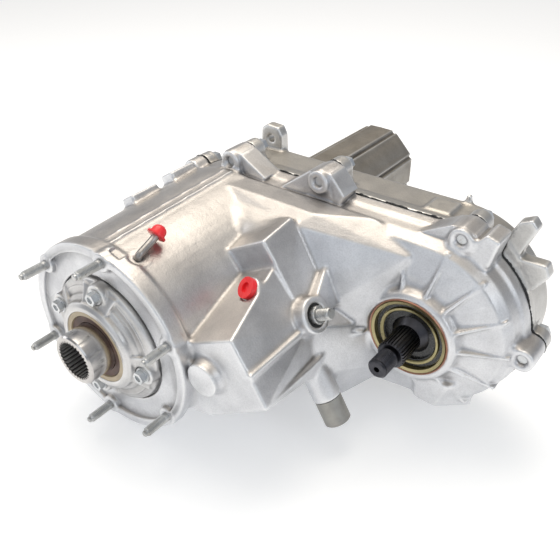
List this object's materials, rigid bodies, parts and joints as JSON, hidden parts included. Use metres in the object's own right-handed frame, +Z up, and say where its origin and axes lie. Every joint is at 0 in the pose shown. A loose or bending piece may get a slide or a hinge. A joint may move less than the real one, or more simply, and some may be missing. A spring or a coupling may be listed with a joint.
{
  "type": "transfer case",
  "caption": "Chain-driven part-time transfer case with planetary low range, splined input hub, offset front output, finned aluminium housing and long tail housing.",
  "frame": {"origin": "centre of the adapter stud circle, in the plane of the stud boss faces, on the input and main shaft axis", "axes": "+Y along the main shaft from the input hub towards the tail housing, +X towards the front output, +Z up as the unit lies"},
  "size_m": [0.499, 0.5919, 0.269],
  "materials": {
    "cast_aluminium": "as-cast with shot-blasted bead texture",
    "zinc_steel": "bright zinc plate",
    "machined_steel": "machined and polished",
    "dark_steel": "oil-blackened steel",
    "black_rubber": "matte",
    "tan_seal": "coated seal case",
    "olive_zinc": "yellow-chromate plate",
    "copper_lip": "copper-brown coating",
    "bronze": "sintered bronze",
    "red_plastic": "soft moulded cap"
  },
  "bodies": {
    "case": {"front_case": "cast_aluminium", "sealant_bead": "black_rubber", "rear_case": "cast_aluminium", "tail_housing": "cast_aluminium", "input_bearing_retainer": "cast_aluminium", "retainer_bolts": "zinc_steel", "input_seal": "tan_seal", "input_bearing_outer": "machined_steel", "annulus_gear": "machined_steel", "drive_chain": "dark_steel", "front_output_bearing_outer": "machined_steel", "front_output_seal": "olive_zinc", "front_seal_dust_lip": "copper_lip", "bearing_snap_ring": "dark_steel", "front_output_rear_bearing": "machined_steel", "rear_output_bearing_outer": "machined_steel", "oil_pump_housing": "cast_aluminium", "oil_pickup_tube": "machined_steel", "oil_pickup_screen": "black_rubber", "case_magnet": "dark_steel", "tail_bushing": "bronze", "rear_output_seal": "tan_seal", "shift_shaft_seal": "black_rubber", "detent_spring": "dark_steel", "detent_plug": "zinc_steel", "shift_rail": "machined_steel", "adapter_studs": "zinc_steel", "case_bolts": "zinc_steel", "tail_bolts": "zinc_steel", "fill_plug": "zinc_steel", "drain_plug": "zinc_steel", "port_plug": "red_plastic", "vent_tube": "zinc_steel", "vent_cap": "red_plastic"},
    "input": {"input_gear": "machined_steel", "input_bearing_inner": "machined_steel", "pilot_bearing": "machined_steel"},
    "carrier": {"planet_carrier": "machined_steel"},
    "mainshaft": {"mainshaft": "machined_steel", "mode_hub": "machined_steel", "drive_sprocket": "dark_steel", "rear_output_bearing_inner": "machined_steel", "oil_pump_rotor": "machined_steel", "speedometer_drive_gear": "dark_steel"},
    "range_collar": {"range_sleeve": "machined_steel"},
    "mode_collar": {"mode_sleeve": "machined_steel"},
    "front_output": {"front_output_shaft": "dark_steel", "driven_sprocket": "dark_steel", "front_output_bearing_inner": "machined_steel"},
    "shift_lever_shaft": {"shift_sector": "machined_steel"},
    "range_fork": {"range_fork": "machined_steel"},
    "mode_fork": {"mode_fork": "machined_steel"},
    "detent": {"detent_poppet": "machined_steel"},
    "planet_1": {"planet_gear_1": "machined_steel"},
    "planet_2": {"planet_gear_2": "machined_steel"},
    "planet_3": {"planet_gear_3": "machined_steel"},
    "planet_4": {"planet_gear_4": "machined_steel"}
  },
  "joints": [
    {"name": "input_spin", "type": "hinge", "parent": "case", "child": "input", "pos_m": [0, 0, 0], "axis": [0, 1, 0], "continuous": true},
    {"name": "carrier_spin", "type": "hinge", "parent": "case", "child": "carrier", "pos_m": [0, 0.06, 0], "axis": [0, 1, 0], "continuous": true},
    {"name": "mainshaft_spin", "type": "hinge", "parent": "case", "child": "mainshaft", "pos_m": [0, 0.3, 0], "axis": [0, 1, 0], "continuous": true},
    {"name": "front_output_spin", "type": "hinge", "parent": "case", "child": "front_output", "pos_m": [0.2515, 0.2, 0.0097], "axis": [0, 1, 0], "continuous": true},
    {"name": "shift_turn", "type": "hinge", "parent": "case", "child": "shift_lever_shaft", "pos_m": [0.14601, 0.116, 0.0231], "axis": [0.866, 0, 0.5], "range_deg": [0, 36.4]},
    {"name": "range_fork_slide", "type": "slide", "parent": "case", "child": "range_fork", "axis": [0, 1, 0], "range_m": [0, 0.01]},
    {"name": "mode_fork_slide", "type": "slide", "parent": "case", "child": "mode_fork", "axis": [0, 1, 0], "range_m": [-0.0121, 0]},
    {"name": "range_collar_slide", "type": "slide", "parent": "mainshaft", "child": "range_collar", "axis": [0, 1, 0], "range_m": [0, 0.0101]},
    {"name": "mode_collar_slide", "type": "slide", "parent": "mainshaft", "child": "mode_collar", "axis": [0, 1, 0], "range_m": [-0.0121, 0]},
    {"name": "detent_press", "type": "slide", "parent": "case", "child": "detent", "axis": [0.5, 0, -0.866], "range_m": [0, 0.0025], "stiffness_N_per_m": 2000},
    {"name": "planet_1_spin", "type": "hinge", "parent": "carrier", "child": "planet_1", "pos_m": [0.04207, 0.064, 0.04207], "axis": [0, 1, 0], "continuous": true},
    {"name": "planet_2_spin", "type": "hinge", "parent": "carrier", "child": "planet_2", "pos_m": [-0.04207, 0.064, 0.04207], "axis": [0, 1, 0], "continuous": true},
    {"name": "planet_3_spin", "type": "hinge", "parent": "carrier", "child": "planet_3", "pos_m": [-0.04207, 0.064, -0.04207], "axis": [0, 1, 0], "continuous": true},
    {"name": "planet_4_spin", "type": "hinge", "parent": "carrier", "child": "planet_4", "pos_m": [0.04207, 0.064, -0.04207], "axis": [0, 1, 0], "continuous": true}
  ],
  "couplings": [
    {"joint": "carrier_spin", "follows": "input_spin", "ratio": 0.36765},
    {"joint": "mainshaft_spin", "follows": "input_spin", "ratio": 0.36765},
    {"joint": "front_output_spin", "follows": "input_spin", "ratio": 0.36765},
    {"joint": "shift_turn", "follows": "range_fork_slide", "rad_per_m": 62.832},
    {"joint": "mode_fork_slide", "follows": "range_fork_slide", "ratio": -1.2},
    {"joint": "range_collar_slide", "follows": "range_fork_slide", "ratio": 1},
    {"joint": "mode_collar_slide", "follows": "range_fork_slide", "ratio": -1.2},
    {"joint": "planet_1_spin", "follows": "input_spin", "ratio": -1.7565},
    {"joint": "planet_2_spin", "follows": "input_spin", "ratio": -1.7565},
    {"joint": "planet_3_spin", "follows": "input_spin", "ratio": -1.7565},
    {"joint": "planet_4_spin", "follows": "input_spin", "ratio": -1.7565}
  ]
}
